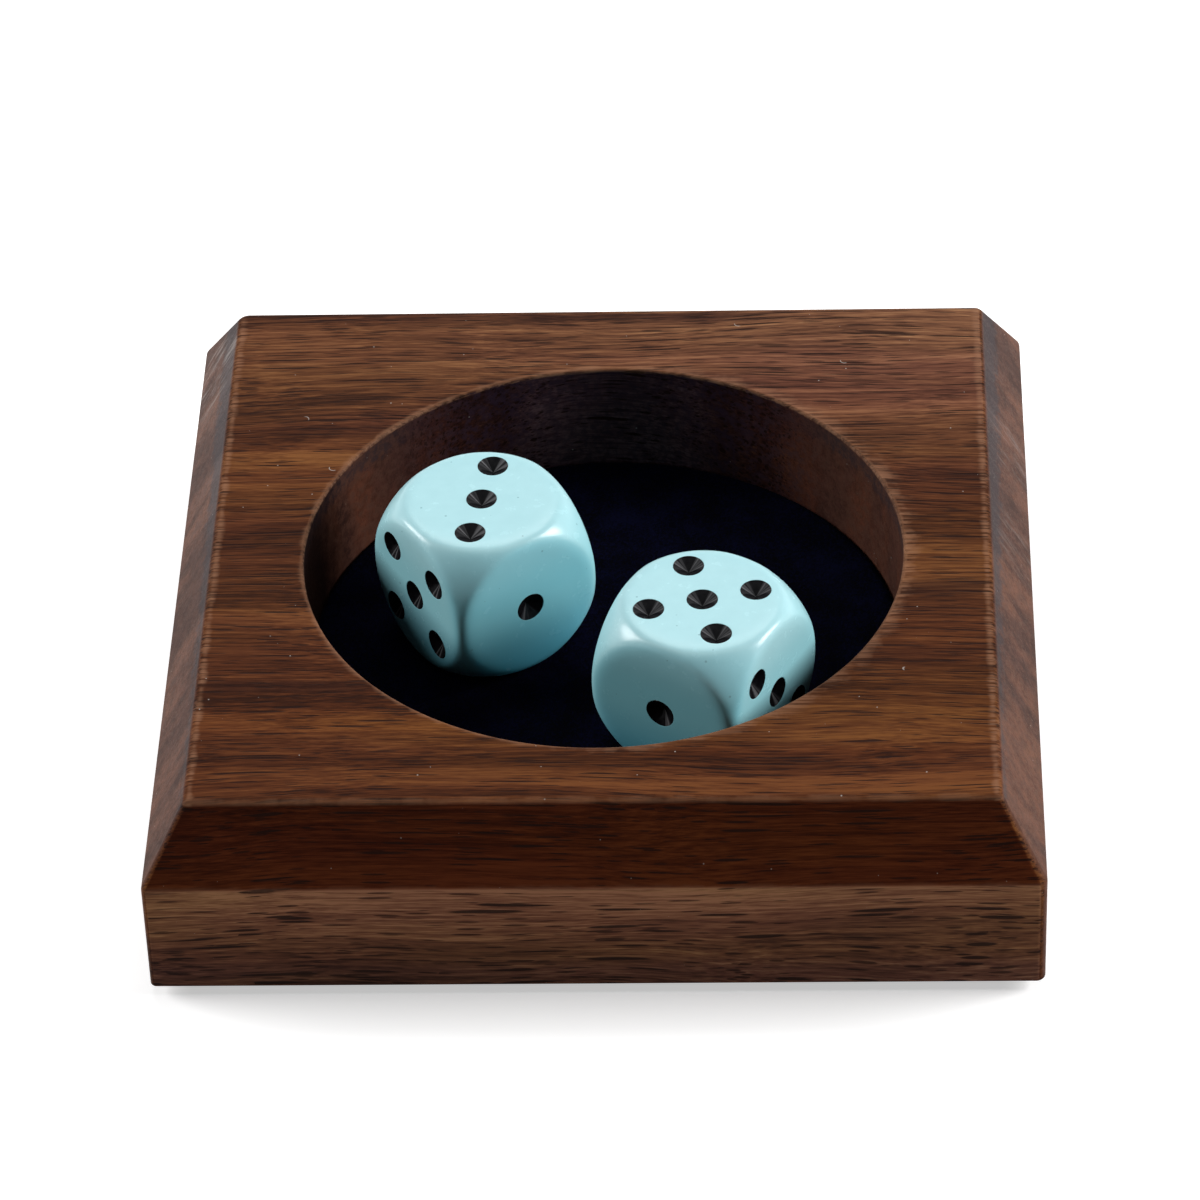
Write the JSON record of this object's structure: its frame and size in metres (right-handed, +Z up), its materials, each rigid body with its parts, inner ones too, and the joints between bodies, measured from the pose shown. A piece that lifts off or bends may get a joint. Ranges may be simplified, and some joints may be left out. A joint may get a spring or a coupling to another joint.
{
  "type": "game piece tray",
  "caption": "Square walnut tray with a bevelled top and a round felt-lined recess, holding loose round-cornered dice.",
  "frame": {"origin": "centre of the underside, on the surface that the tray stands on", "axes": "+X to the right along the grain, +Y to the back, +Z up out of the recess's mouth"},
  "size_m": [0.0826, 0.0826, 0.0248],
  "materials": {
    "walnut": "satin, oiled",
    "black_felt": "matte, short pile",
    "base_felt": "matte",
    "turquoise_plastic": "satin gloss",
    "pip_paint": "gloss"
  },
  "bodies": {
    "tray": {"tray_block": "walnut", "recess_felt": "black_felt", "base_felt": "base_felt"},
    "left_die": {"die_left": "turquoise_plastic", "die_left_pips": "pip_paint"},
    "right_die": {"die_right": "turquoise_plastic", "die_right_pips": "pip_paint"}
  },
  "joints": [
    {"name": "left_die_lift", "type": "slide", "parent": "tray", "child": "left_die", "axis": [0, 0, 1], "range_m": [0, 0.03]},
    {"name": "right_die_lift", "type": "slide", "parent": "tray", "child": "right_die", "axis": [0, 0, 1], "range_m": [0, 0.03]}
  ]
}
